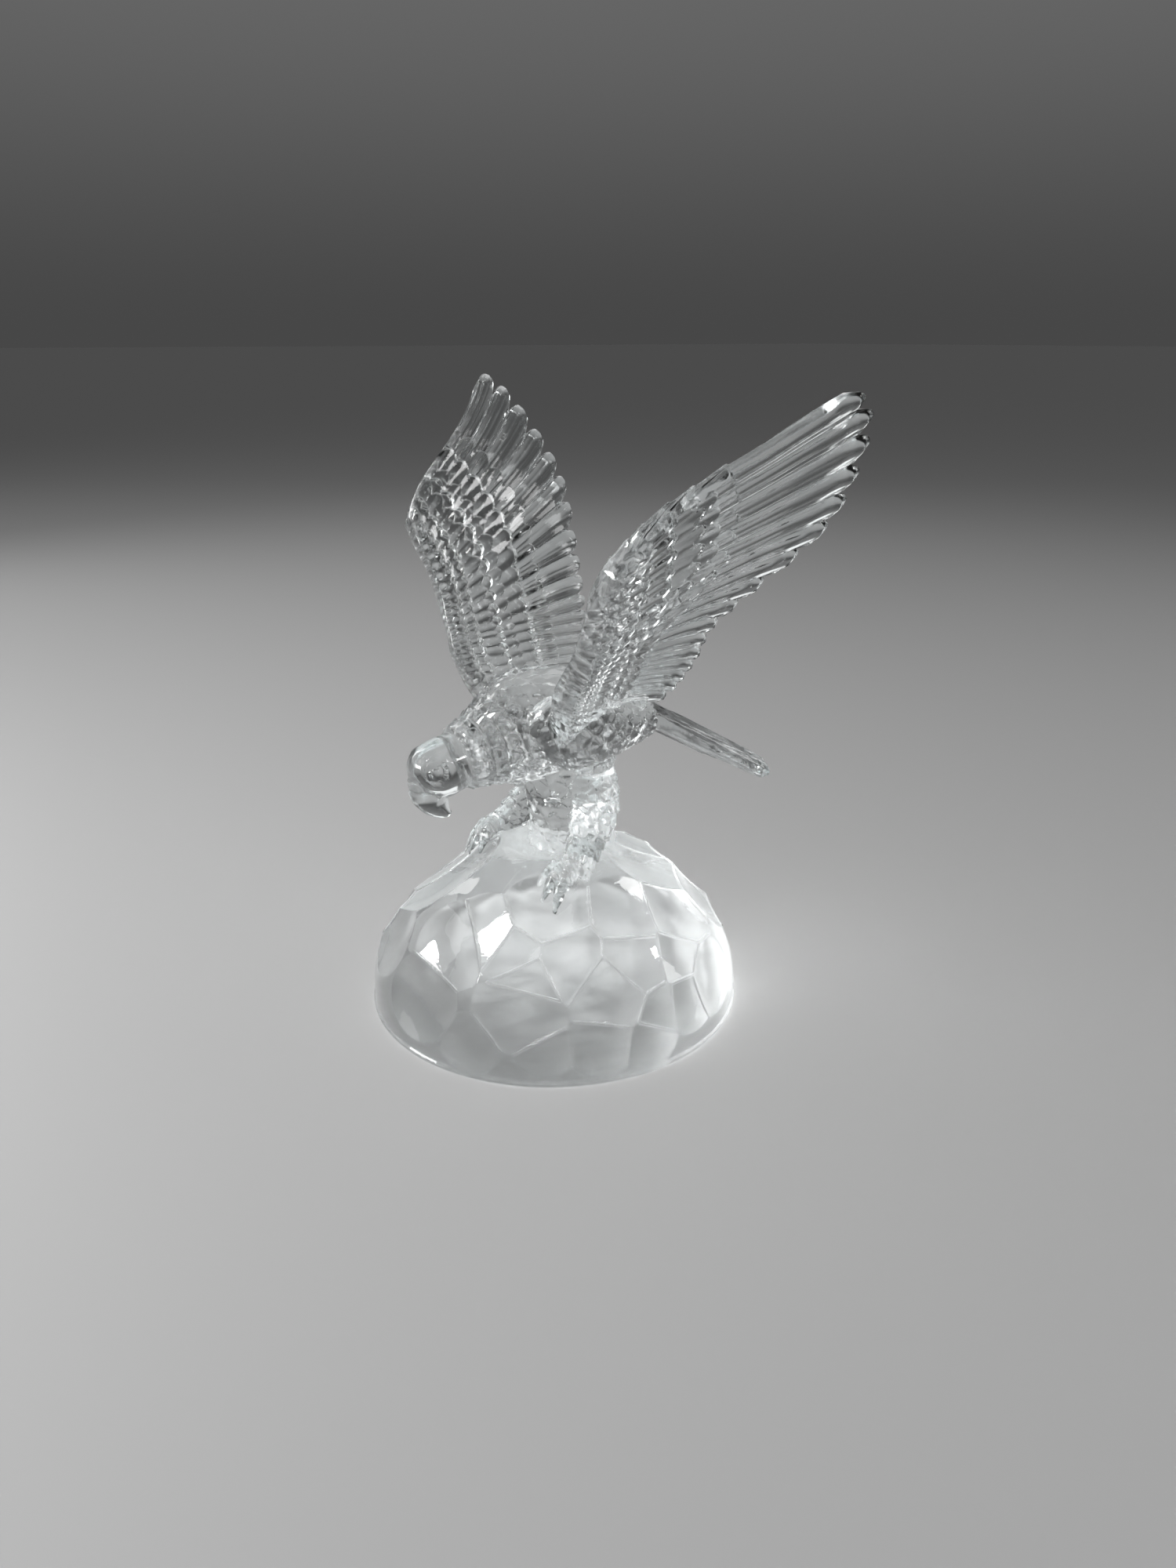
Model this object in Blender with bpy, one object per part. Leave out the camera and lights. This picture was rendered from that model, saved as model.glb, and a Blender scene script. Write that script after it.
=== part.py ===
"""A clear pressed-glass eagle with raised wings, standing on a faceted rock, as one solid piece of glass.

The eagle faces -Y, its wings mirror each other across X = 0, and Z is up. The origin is the centre of
the rock's flat underside. Lengths are in metres. The figure's pose is written in hundredths of the
eagle's own height, and everything that fits or joins takes its place from the named sizes.
"""

from math import cos, pi, radians, sin, sqrt

import bmesh
import bpy
import numpy as np

MM = 0.001

# Rock
ROCK_DIAMETER = 80.0 * MM
ROCK_HEIGHT = 36.0 * MM
RIM_HEIGHT = 3.0 * MM
RIM_BEVEL = 0.8 * MM
FACET_DEPTH = 2.1 * MM
FACET_HOLLOW_RADIUS = 50.0 * MM

# Eagle, from the rock's top to the wing tips
EAGLE_HEIGHT = 94.0 * MM
FIGURE_UNIT = EAGLE_HEIGHT / 100.0

# Wings
FLIGHT_FEATHERS = 18
WING_ROOT_THICKNESS = 6.0 * MM
WRIST_THICKNESS = 3.7 * MM
FEATHER_THICKNESS = 2.0 * MM
FEATHER_RIDGE = 0.5 * MM
COVERT_STEP = 0.45 * MM
WING_CAMBER = 2.2 * MM

# Tail
TAIL_FEATHERS = 7
TAIL_LENGTH = 43.0 * MM
TAIL_ROOT_WIDTH = 11.0 * MM
TAIL_TIP_WIDTH = 25.0 * MM
TAIL_ROOT_THICKNESS = 5.0 * MM
TAIL_TIP_THICKNESS = 2.6 * MM
TAIL_SLOPE_DEG = 30.0
TAIL_DROOP = 1.2 * MM

# Body, beak, eyes, toes and claws
BODY_FEATHER_RELIEF = 0.45 * MM
BEAK_WIDTH = 7.2 * MM
EYE_DIAMETER = 2.4 * MM
TOE_THICKNESS = 3.6 * MM
TOE_LENGTH = 7.7 * MM
TOE_ANGLES_DEG = (-26.0, 0.0, 26.0)
TOE_JOINTS = 3
CLAW_POINT = 0.9 * MM
CLAW_SINK = 2.0 * MM

# Smoothness of the forms
ROCK_SIDES = 48
DOME_RINGS = 8
BODY_SIDES = 22
HEAD_SIDES = 16
LIMB_SIDES = 10
SMALL_SIDES = 6
FEATHER_SAMPLES = 3
CREASE_ANGLE_DEG = 35.0

GLASS_COLOUR = (0.93, 0.96, 0.96, 1.0)
GLASS_ROUGHNESS = 0.03
GLASS_IOR = 1.54


def figure(*points):
    """Places figure points, given in hundredths of the eagle's height above the rock's top, in metres."""
    return np.array(points, float) * FIGURE_UNIT + np.array((0.0, 0.0, ROCK_HEIGHT))


def curve_through(knots, points, at):
    """A smooth curve through the points at their knots: cubic Hermite, with slopes from the neighbours."""
    knots = np.asarray(knots, float)
    points = np.asarray(points, float)
    slopes = np.gradient(points, knots, axis=0)
    at = np.clip(np.asarray(at, float), knots[0], knots[-1])
    i = np.clip(np.searchsorted(knots, at, side="right") - 1, 0, len(knots) - 2)
    span = knots[i + 1] - knots[i]
    t = ((at - knots[i]) / span)[:, None]
    span = span[:, None]
    return (
        (2 * t**3 - 3 * t**2 + 1) * points[i]
        + (t**3 - 2 * t**2 + t) * span * slopes[i]
        + (3 * t**2 - 2 * t**3) * points[i + 1]
        + (t**3 - t**2) * span * slopes[i + 1]
    )


def face_outwards(mesh):
    """Cuts the faces of a closed mesh into triangles and turns them all outwards."""
    bm = bmesh.new()
    bm.from_mesh(mesh)
    bmesh.ops.triangulate(bm, faces=bm.faces)
    bmesh.ops.recalc_face_normals(bm, faces=bm.faces)
    if bm.calc_volume(signed=True) < 0:
        bmesh.ops.reverse_faces(bm, faces=bm.faces)
    bm.to_mesh(mesh)
    bm.free()


def add_object(name, mesh):
    """Puts a mesh in the scene as an object at the origin."""
    placed = bpy.data.objects.new(name, mesh)
    bpy.context.scene.collection.objects.link(placed)
    return placed


def closed_form(name, rings):
    """A closed body from rings of points, with each end filled."""
    count, around = rings.shape[:2]
    here = np.arange(count - 1)[:, None] * around + np.arange(around)
    beside = np.arange(count - 1)[:, None] * around + (np.arange(around) + 1) % around
    faces = np.stack([here, beside, beside + around, here + around], axis=-1).reshape(-1, 4).tolist()
    faces.append(list(range(around))[::-1])
    faces.append(list(range((count - 1) * around, count * around)))
    mesh = bpy.data.meshes.new(name)
    mesh.from_pydata(rings.reshape(-1, 3).tolist(), [], faces)
    face_outwards(mesh)
    return add_object(name, mesh)


def ball(name, centre, radius, subdivisions):
    """A ball of triangles."""
    bm = bmesh.new()
    bmesh.ops.create_icosphere(bm, subdivisions=subdivisions, radius=radius)
    bmesh.ops.translate(bm, verts=bm.verts, vec=centre)
    mesh = bpy.data.meshes.new(name)
    bm.to_mesh(mesh)
    bm.free()
    return add_object(name, mesh)


def combine(base, others, operation):
    """Joins the others to the base, or cuts them from it, and leaves one mesh in one object."""
    for other in others:
        step = base.modifiers.new("step", "BOOLEAN")
        step.operation = operation
        step.solver = "EXACT"
        step.object = other
    bpy.context.view_layer.update()
    graph = bpy.context.evaluated_depsgraph_get()
    combined = bpy.data.meshes.new_from_object(base.evaluated_get(graph))
    base.modifiers.clear()
    base.data = combined
    for other in others:
        bpy.data.objects.remove(other)
    return base


def oval_rings(spine, half_widths, half_heights, across, upright, sides):
    """Oval rings of points along a spine, in the plane of the across and upright directions."""
    turn = np.linspace(0, 2 * pi, sides, endpoint=False)
    return (
        spine[:, None]
        + across * (half_widths * np.cos(turn))[..., None]
        + upright * (half_heights * np.sin(turn))[..., None]
    )


def tube(name, spine, radii, sides, relief):
    """A round form along a spine, each ring square to it. Relief raises every other point, staggered from
    ring to ring, as rows of small feathers do."""
    across = np.array((1.0, 0.0, 0.0))
    along = np.gradient(spine, axis=0)
    along /= np.linalg.norm(along, axis=1)[:, None]
    upright = np.cross(across, along)
    upright /= np.linalg.norm(upright, axis=1)[:, None]
    raised = np.add.outer(np.arange(len(spine)), np.arange(sides)) % 2 * relief
    raised[[0, -1]] = 0.0
    widths = radii[:, :1] + raised
    heights = radii[:, 1:] + raised
    return closed_form(name, oval_rings(spine, widths, heights, across, upright[:, None], sides))


def figure_form(name, stations, rings, sides, side=1, relief=0.0):
    """A round form through stations of (x, y, z, half-width, half-height) in figure units."""
    at = np.linspace(0, len(stations) - 1, rings)
    smooth = curve_through(range(len(stations)), stations, at)
    spine = figure(*smooth[:, :3]) * (side, 1.0, 1.0)
    return tube(name, spine, smooth[:, 3:] * FIGURE_UNIT, sides, relief)


# Rock. Each placed facet is (degrees around, degrees of rise above the rim, depth as a share), for the
# rock's front, sides and top. Rows of (rise, count) fill the rest, clear of those by a few degrees.

PLACED_FACETS = (
    (-79, 17, 1.24),
    (-73, 38, 1.19),
    (-63, 44, 1.05),
    (-48, 40, 1.05),
    (-42, 32, 1.10),
    (-44, 22, 1.19),
    (-59, 8, 0.71),
    (-36, 9, 0.62),
    (-14, 27, 1.29),
    (-28, 38, 1.19),
    (-3, 34, 1.24),
    (2, 49, 1.10),
    (15, 30, 1.05),
    (1, 18, 0.86),
    (-19, 10, 0.86),
    (-5, 7, 0.71),
    (13, 16, 0.95),
    (26, 17, 1.05),
    (27, 42, 1.14),
    (-36, 54, 1.14),
    (-108, 26, 1.05),
    (-135, 28, 1.24),
    (-150, 44, 2.05),
    (-128, 52, 2.19),
    (64, 16, 0.90),
    (58, 36, 1.10),
    (80, 38, 1.05),
    (52, 58, 1.24),
    (83, 60, 1.05),
    (0, 90, 0.86),
)
FACET_ROWS = ((19, 12), (38, 11), (60, 7))
FACET_CLEARANCE_DEG = 20.0
FACET_SHIFT = 0.2
FACET_TILT_DEG = 4.0
FACET_DEPTH_VARIATION = 0.4
FACET_SEED = 4
DOME_TOP_DEG = 86.0


def dome_point(around, rise):
    """A point of the dome and the direction straight out of it there. Both angles are in radians."""
    radius, height = ROCK_DIAMETER / 2, ROCK_HEIGHT - RIM_HEIGHT
    flat = np.array((cos(around), sin(around), 0.0))
    up = np.array((0.0, 0.0, 1.0))
    point = flat * radius * cos(rise) + up * (RIM_HEIGHT + height * sin(rise))
    outward = flat * cos(rise) / radius + up * sin(rise) / height
    return point, outward / np.linalg.norm(outward)


def dome_height_at(x, y):
    """Height of the dome over a point of the underside."""
    share = max(0.0, 1 - (x * x + y * y) / (ROCK_DIAMETER / 2) ** 2)
    return RIM_HEIGHT + (ROCK_HEIGHT - RIM_HEIGHT) * sqrt(share)


def direction(around_deg, rise_deg):
    """The direction of a facet from the middle of the rim."""
    around, rise = radians(around_deg), radians(rise_deg)
    return np.array((cos(around) * cos(rise), sin(around) * cos(rise), sin(rise)))


def facets():
    """Every facet of the rock as (degrees around, rise, share of the facet depth)."""
    chance = np.random.default_rng(FACET_SEED)
    placed = np.array([direction(around, rise) for around, rise, _ in PLACED_FACETS])
    found = list(PLACED_FACETS)
    for rise, count in FACET_ROWS:
        for k in range(count):
            place = k + 0.5 * (count % 2) + chance.uniform(-FACET_SHIFT, FACET_SHIFT)
            tilted = rise + chance.uniform(-FACET_TILT_DEG, FACET_TILT_DEG)
            share = 1 + chance.uniform(-FACET_DEPTH_VARIATION, FACET_DEPTH_VARIATION)
            around = 360 * place / count
            if (placed @ direction(around, tilted)).max() < cos(radians(FACET_CLEARANCE_DEG)):
                found.append((around, tilted, share))
    return found


def rock():
    """The rock: a domed block whose facets are hollowed by large balls, so that they meet in crisp ridges."""
    radius = ROCK_DIAMETER / 2
    profile = [(radius - RIM_BEVEL, 0.0), (radius, RIM_BEVEL)]
    for rise in np.linspace(0.0, radians(DOME_TOP_DEG), DOME_RINGS):
        point, _ = dome_point(0.0, rise)
        profile.append((point[0], point[2]))
    turn = np.linspace(0, 2 * pi, ROCK_SIDES, endpoint=False)
    rings = np.array([[(r * cos(a), r * sin(a), z) for a in turn] for r, z in profile])
    hollows = []
    for around, rise, share in facets():
        point, outward = dome_point(radians(around), radians(rise))
        centre = point + outward * (FACET_HOLLOW_RADIUS - FACET_DEPTH * share)
        hollows.append(ball("hollow", centre, FACET_HOLLOW_RADIUS, 3))
    return combine(closed_form("rock", rings), hollows, "DIFFERENCE")


# Wings. The arm is the leading edge from shoulder to wrist, the tips run from the innermost flight
# feather to the outermost, and the hand is the leading edge from wrist to wing tip. Each has a knot
# for every point, as a share of its own length. A covert row ends at one share of the wing's depth
# at the shoulder and at another at the tip. The nose is (share of depth, share of full thickness).

ARM_KNOTS = (0.0, 0.1, 0.3, 0.47, 0.58, 0.69, 0.8, 0.92, 1.0)
ARM = (
    (7.5, -8.0, 28.0),
    (14.4, -10.2, 32.6),
    (20.0, -12.6, 40.2),
    (22.3, -12.4, 43.6),
    (24.5, -12.0, 47.0),
    (26.4, -11.6, 51.0),
    (29.6, -11.9, 57.0),
    (33.5, -13.2, 63.0),
    (37.2, -13.2, 67.6),
)
TIPS_KNOTS = (0.0, 0.06, 0.14, 0.25, 0.36, 0.472, 0.583, 0.694, 0.806, 0.917, 1.0)
TIPS = (
    (8.0, 13.0, 26.0),
    (10.6, 14.9, 29.8),
    (15.4, 19.1, 34.0),
    (18.6, 21.8, 38.5),
    (21.3, 23.7, 43.9),
    (24.3, 25.2, 50.7),
    (32.6, 29.1, 59.6),
    (44.9, 34.1, 71.8),
    (53.9, 32.4, 83.2),
    (61.3, 26.8, 94.1),
    (63.4, 20.7, 98.6),
)
HAND_KNOTS = (0.0, 0.115, 0.275, 0.46, 0.675, 0.87, 1.0)
HAND = (
    ARM[-1],
    (40.6, -10.7, 71.4),
    (43.7, -5.1, 77.0),
    (48.2, 2.2, 82.1),
    (54.3, 10.1, 87.7),
    (59.6, 16.6, 94.0),
    TIPS[-1],
)
SHOULDER_INSIDE = (4.0, 1.0, 25.5)
SHOULDER_INSIDE_SIZE = 0.7
WING_NOSE = ((0.0, 0.15), (0.025, 0.55), (0.08, 0.9))
COVERT_ROWS = ((0.24, 0.15), (0.48, 0.30), (0.75, 0.46))
COVERT_SCALLOP = 0.035
COVERT_STEP_RUN = 0.025
INNER_NOTCH = 0.05
OUTER_NOTCH = 0.13
TIP_RUN = 0.03
TIP_THINNING = 0.55


def wing_sheet(u, v):
    """The wing's middle surface: the arm at v = 0, the feather tips at v = 1, and the hand's edge at u = 1."""
    arm = curve_through(ARM_KNOTS, figure(*ARM), u)[:, None]
    tips = curve_through(TIPS_KNOTS, figure(*TIPS), u)[:, None]
    hand = curve_through(HAND_KNOTS, figure(*HAND), v.ravel()).reshape(v.shape + (3,))
    wrist, tip = figure(HAND[0], HAND[-1])
    across = v[..., None]
    bow = hand - (wrist + (tip - wrist) * across)
    return arm * (1 - across) + tips * across + bow * (u[:, None, None] ** 2)


def sheet_normal(u, v, step=1e-4):
    """Directions square to the wing's middle surface, on the side of the back."""
    along = wing_sheet(np.clip(u + step, 0, 1), v) - wing_sheet(np.clip(u - step, 0, 1), v)
    backward = wing_sheet(u, v + step) - wing_sheet(u, v - step)
    normal = np.cross(along, backward)
    return normal / np.linalg.norm(normal, axis=2)[..., None]


def off_feather_centre(place):
    """0 on a feather's midline and 1 on its edges, for places counted in feathers."""
    share = np.round(place, 6) % 1.0
    return np.abs(2 * share - 1)


def closed_section(middle, normal, upper, under):
    """Rings that run over the top of a sheet and back under it."""
    top = middle + normal * upper[..., None]
    bottom = middle - normal * under[..., None]
    return np.concatenate([top, bottom[:, ::-1]], axis=1)


def wing(side):
    """One wing as rings from the body to the hand's edge, with stepped coverts and notched feather tips."""
    u = np.linspace(0.0, 1.0, FLIGHT_FEATHERS * FEATHER_SAMPLES + 1)
    off = off_feather_centre(u * FLIGHT_FEATHERS)
    columns = [share + 0.0 * u for share, _ in WING_NOSE]
    steps_left = [len(COVERT_ROWS)] * len(columns)
    for row, (inner, outer) in enumerate(COVERT_ROWS):
        end = inner + (outer - inner) * u - COVERT_SCALLOP * off**3
        columns += [end, end + COVERT_STEP_RUN]
        steps_left += [len(COVERT_ROWS) - row, len(COVERT_ROWS) - row - 1]
    end = 1.0 - off**3 * (INNER_NOTCH + (OUTER_NOTCH - INNER_NOTCH) * u**2)
    v = np.stack(columns + [end - TIP_RUN, end], axis=1)
    steps_left += [0, 0]
    arm_thickness = WING_ROOT_THICKNESS + (WRIST_THICKNESS - WING_ROOT_THICKNESS) * u
    half = (FEATHER_THICKNESS + (arm_thickness - FEATHER_THICKNESS)[:, None] * (1 - v) ** 3) / 2
    half += COVERT_STEP / 2 * np.array(steps_left) + FEATHER_RIDGE * (1 - off**2)[:, None]
    half[:, : len(WING_NOSE)] *= [share for _, share in WING_NOSE]
    half[:, -1] *= TIP_THINNING
    half[-1] *= TIP_THINNING
    normal = sheet_normal(u, v)
    camber = WING_CAMBER * 27 / 4 * v**2 * (1 - v)  # its peak is WING_CAMBER
    middle = wing_sheet(u, v) + normal * camber[..., None]
    upper = half * (1 + v) / 2  # half of an even share at the arm, and an even share at the tips
    rings = closed_section(middle, normal, upper, 2 * half - upper)
    inside = figure(SHOULDER_INSIDE)[0] + (rings[0] - rings[0].mean(0)) * SHOULDER_INSIDE_SIZE
    return closed_form("wing", np.concatenate([inside[None], rings]) * (side, 1.0, 1.0))


# Tail

TAIL_ROOT = (0.0, 20.0, 28.4)
TAIL_NOTCH = 0.04
TAIL_END_CURVE = 0.10
TAIL_EDGE_THINNING = 0.85
TAIL_FLARE = 1.3


def tail():
    """A fan of feathers that slopes down behind the body, with a ridge along each feather."""
    s = np.linspace(-1.0, 1.0, TAIL_FEATHERS * FEATHER_SAMPLES + 1)
    off = off_feather_centre((s + 1) / 2 * TAIL_FEATHERS)
    end = 1.0 - TAIL_NOTCH * off**3 - TAIL_END_CURVE * s**2
    t = np.stack([0.0 * s, 0.5 * end, end - TAIL_NOTCH, end], axis=1)
    width = TAIL_ROOT_WIDTH + (TAIL_TIP_WIDTH - TAIL_ROOT_WIDTH) * t**TAIL_FLARE
    half = (TAIL_ROOT_THICKNESS + (TAIL_TIP_THICKNESS - TAIL_ROOT_THICKNESS) * t) / 2
    half = half * np.sqrt(1.0 - TAIL_EDGE_THINNING * s[:, None] ** 4)
    half += FEATHER_RIDGE * (1 - off**2)[:, None] * t
    half[:, -1] *= TIP_THINNING
    slope = radians(TAIL_SLOPE_DEG)
    backward = np.array((0.0, cos(slope), -sin(slope)))
    normal = np.array((0.0, sin(slope), cos(slope)))
    aside = np.array((1.0, 0.0, 0.0))
    middle = (
        figure(TAIL_ROOT)[0]
        + backward * (TAIL_LENGTH * t)[..., None]
        - normal * (TAIL_DROOP * s**2)[:, None, None]
        + aside * (width / 2 * s[:, None])[..., None]
    )
    return closed_form("tail", closed_section(middle, normal, half, half))


# Body, head and legs, as stations of (x, y, z, half-width, half-height) in figure units

BACK = (
    (0.0, -25.6, 23.2, 2.0, 2.0),
    (0.0, -23.4, 23.4, 6.6, 6.2),
    (0.0, -19.0, 24.4, 8.2, 7.5),
    (0.0, -11.0, 26.2, 11.4, 10.4),
    (0.0, -1.0, 28.0, 12.6, 10.6),
    (0.0, 9.0, 27.0, 12.0, 9.8),
    (0.0, 18.0, 25.2, 9.2, 7.0),
    (0.0, 25.5, 24.0, 5.4, 3.6),
    (0.0, 27.0, 23.6, 1.0, 1.0),
)
BELLY = (
    (0.0, 3.0, 32.0, 6.0, 8.0),
    (0.0, 3.4, 26.0, 10.6, 10.8),
    (0.0, 3.8, 18.0, 10.2, 10.6),
    (0.0, 4.8, 10.0, 9.6, 9.8),
    (0.0, 5.2, 3.0, 9.2, 9.4),
    (0.0, 5.2, -5.0, 9.4, 10.0),
)
SKULL = (
    (0.0, -20.0, 24.0, 6.4, 6.0),
    (0.0, -24.4, 23.1, 6.5, 6.0),
    (0.0, -28.2, 22.1, 6.5, 6.2),
    (0.0, -31.0, 21.0, 5.6, 5.6),
    (0.0, -33.0, 20.2, 3.9, 4.2),
    (0.0, -34.2, 19.8, 2.0, 2.2),
    (0.0, -34.6, 19.7, 0.5, 0.5),
)
BEAK = (
    (-30.7, 20.4, 1.00, 4.5),
    (-30.7, 17.9, 0.97, 4.3),
    (-29.9, 15.8, 0.86, 3.7),
    (-28.9, 14.1, 0.66, 2.9),
    (-27.8, 12.8, 0.46, 2.0),
    (-26.8, 12.0, 0.28, 1.2),
    (-26.0, 11.7, 0.12, 0.6),
)
EYE = (4.4, -31.2, 23.2)
BROW = (
    (2.2, -33.2, 23.3, 0.5, 0.5),
    (4.0, -31.6, 24.9, 0.9, 0.9),
    (4.9, -28.6, 25.9, 0.4, 0.4),
)
SHOULDER = (
    (7.0, -13.0, 24.5, 2.4, 3.0),
    (10.2, -6.0, 28.0, 5.6, 7.6),
    (10.8, 4.0, 28.4, 5.6, 7.8),
    (9.0, 14.0, 27.0, 4.0, 5.6),
    (6.4, 20.0, 25.4, 1.6, 2.0),
)
LEG = (
    (5.6, 5.0, 17.0, 6.0, 6.6),
    (9.4, 4.4, 9.0, 5.4, 5.4),
    (13.0, -0.4, 2.8, 4.0, 3.8),
    (15.6, -5.0, -2.4, 3.0, 3.0),
)
TOE_ARCH = 0.55
TOE_SWELL = 0.1
TOE_HEIGHT_RATIO = 1.3


def beak():
    """The hooked beak. Its stations are (y, z, share of the beak's width, half-height)."""
    half_width = BEAK_WIDTH / 2 / FIGURE_UNIT
    stations = [(0.0, y, z, share * half_width, depth) for y, z, share, depth in BEAK]
    return figure_form("beak", stations, 9, LIMB_SIDES)


def toe(side, angle_deg):
    """A toe that arches from the ankle over the rock and ends in a claw sunk in it. Its rings stand
    upright, square to the way it points, and swell at each joint."""
    ankle = figure(LEG[-1][:3])[0] * (side, 1.0, 0.0)
    heading = np.array((side * sin(radians(angle_deg)), -cos(radians(angle_deg)), 0.0))
    across = np.array((heading[1], -heading[0], 0.0))
    shares = np.linspace(0.0, 1.0, 2 * TOE_JOINTS)
    spine = ankle + heading * (TOE_LENGTH * shares)[:, None]
    spine[:, 2] = [dome_height_at(x, y) for x, y, _ in spine]
    spine[:, 2] += TOE_ARCH * TOE_THICKNESS * (1 - shares**4) - CLAW_SINK * shares**4
    swell = 1 - TOE_SWELL * np.cos(TOE_JOINTS * 2 * pi * shares)
    half = TOE_THICKNESS / 2 * swell * (1 - shares**3) + CLAW_POINT / 2 * shares**3
    upright = np.array((0.0, 0.0, TOE_HEIGHT_RATIO))
    rings = oval_rings(spine, half[:, None], half[:, None], across, upright, SMALL_SIDES)
    return closed_form("toe", rings)


# Assembly


def eagle():
    """The eagle's forms, which overlap each other and the rock."""
    made = [
        figure_form("back_and_neck", BACK, 17, BODY_SIDES, relief=BODY_FEATHER_RELIEF),
        figure_form("belly", BELLY, 9, BODY_SIDES, relief=BODY_FEATHER_RELIEF),
        figure_form("skull", SKULL, 10, HEAD_SIDES),
        beak(),
        tail(),
    ]
    for side in (-1, 1):
        made.append(wing(side))
        made.append(figure_form("shoulder", SHOULDER, 9, LIMB_SIDES, side, BODY_FEATHER_RELIEF))
        made.append(figure_form("leg", LEG, 7, LIMB_SIDES, side, BODY_FEATHER_RELIEF))
        made.append(figure_form("brow", BROW, 5, SMALL_SIDES, side))
        made.append(ball("eye", figure(EYE)[0] * (side, 1.0, 1.0), EYE_DIAMETER / 2, 2))
        made += [toe(side, angle) for angle in TOE_ANGLES_DEG]
    return made


def glass():
    """Clear lead glass, slightly cool in colour."""
    material = bpy.data.materials.new("clear_glass")
    material.use_nodes = True
    shader = material.node_tree.nodes["Principled BSDF"]
    shader.inputs["Base Color"].default_value = GLASS_COLOUR
    shader.inputs["Roughness"].default_value = GLASS_ROUGHNESS
    shader.inputs["Metallic"].default_value = 0.0
    shader.inputs["IOR"].default_value = GLASS_IOR
    shader.inputs["Transmission Weight"].default_value = 1.0
    return material


def main():
    for old in list(bpy.data.objects):
        bpy.data.objects.remove(old)
    paperweight = combine(rock(), eagle(), "UNION")
    paperweight.name = "glass_eagle_on_rock"
    paperweight.data.name = "glass_eagle_on_rock"
    paperweight.data.materials.clear()
    paperweight.data.materials.append(glass())
    paperweight.data.shade_smooth()
    paperweight.data.set_sharp_from_angle(angle=radians(CREASE_ANGLE_DEG))


if __name__ == "__main__":
    main()
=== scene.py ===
"""The look of a clear moulded-glass eagle on a faceted rock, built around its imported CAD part.

The eagle faces -Y and its wings mirror each other across X = 0. Lengths are in metres, and the pose of
the figure is written in hundredths of the eagle's height above the rock's top. Every form is worked out
as a whole array of points, the forms are joined into one closed body of glass, and that body takes the
place of the CAD node it follows.
"""

import logging
from dataclasses import dataclass, field
from enum import Enum
from math import radians

import bmesh
import bpy
import numpy as np
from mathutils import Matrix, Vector


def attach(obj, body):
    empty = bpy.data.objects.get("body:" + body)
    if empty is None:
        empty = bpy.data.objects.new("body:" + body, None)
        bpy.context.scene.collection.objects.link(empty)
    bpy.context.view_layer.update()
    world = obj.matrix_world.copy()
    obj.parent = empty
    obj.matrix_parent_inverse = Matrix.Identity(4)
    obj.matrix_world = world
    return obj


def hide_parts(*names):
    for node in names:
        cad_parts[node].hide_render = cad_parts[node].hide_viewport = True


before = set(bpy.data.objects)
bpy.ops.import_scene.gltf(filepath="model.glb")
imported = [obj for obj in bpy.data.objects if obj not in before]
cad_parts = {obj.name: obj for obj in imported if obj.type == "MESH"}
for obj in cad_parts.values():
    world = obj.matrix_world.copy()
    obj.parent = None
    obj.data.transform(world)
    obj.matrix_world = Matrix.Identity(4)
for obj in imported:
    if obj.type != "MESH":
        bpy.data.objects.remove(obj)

log = logging.getLogger("glass_eagle")

Array = np.ndarray
Stations = tuple[tuple[float, float, float, float, float], ...]
MM = 0.001
NODE = "glass_eagle_on_rock"


class Side(Enum):
    """A side of the mirror plane, as the sign of X."""

    LEFT = 1
    RIGHT = -1


class Face(Enum):
    """A face of a wing: its back, which faces inwards and up, or its underside."""

    BACK = 1
    UNDER = -1


# Plain mathematics


def curve_through(knots: Array, points: Array, at: Array) -> Array:
    """A smooth curve: the cubic Hermite through the points, whose slopes come from the neighbours.

    Args:
        knots: one rising value for each point.
        points: the points, one row each.
        at: where to read the curve, in an array of any shape.

    Returns:
        The points of the curve, with the shape of ``at`` and one more axis.
    """
    knots, points = np.asarray(knots, float), np.asarray(points, float)
    slopes = np.gradient(points, knots, axis=0)
    at = np.clip(np.asarray(at, float), knots[0], knots[-1])
    i = np.clip(np.searchsorted(knots, at, side="right") - 1, 0, len(knots) - 2)
    span = (knots[i + 1] - knots[i])[..., None]
    t = (at - knots[i])[..., None] / span
    return (
        (2 * t**3 - 3 * t**2 + 1) * points[i]
        + (t**3 - 2 * t**2 + t) * span * slopes[i]
        + (3 * t**2 - 2 * t**3) * points[i + 1]
        + (t**3 - t**2) * span * slopes[i + 1]
    )


def unit(vectors: Array) -> Array:
    """The vectors at length one, along the last axis."""
    return vectors / np.linalg.norm(vectors, axis=-1, keepdims=True)


def off_centre(place: Array) -> Array:
    """0 on the midline and 1 on the edges of each whole step of a place."""
    return np.abs(2 * (np.round(place, 6) % 1.0) - 1)


def bump(distance: Array, width: float) -> Array:
    """A bell of height one: exp(-(distance / width) squared)."""
    return np.exp(-((distance / width) ** 2))


def smooth_step(x: Array, low: float, high: float) -> Array:
    """0 below low, 1 above high, and t * t * (3 - 2 t) between."""
    t = np.clip((x - low) / (high - low), 0.0, 1.0)
    return t * t * (3 - 2 * t)


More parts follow.
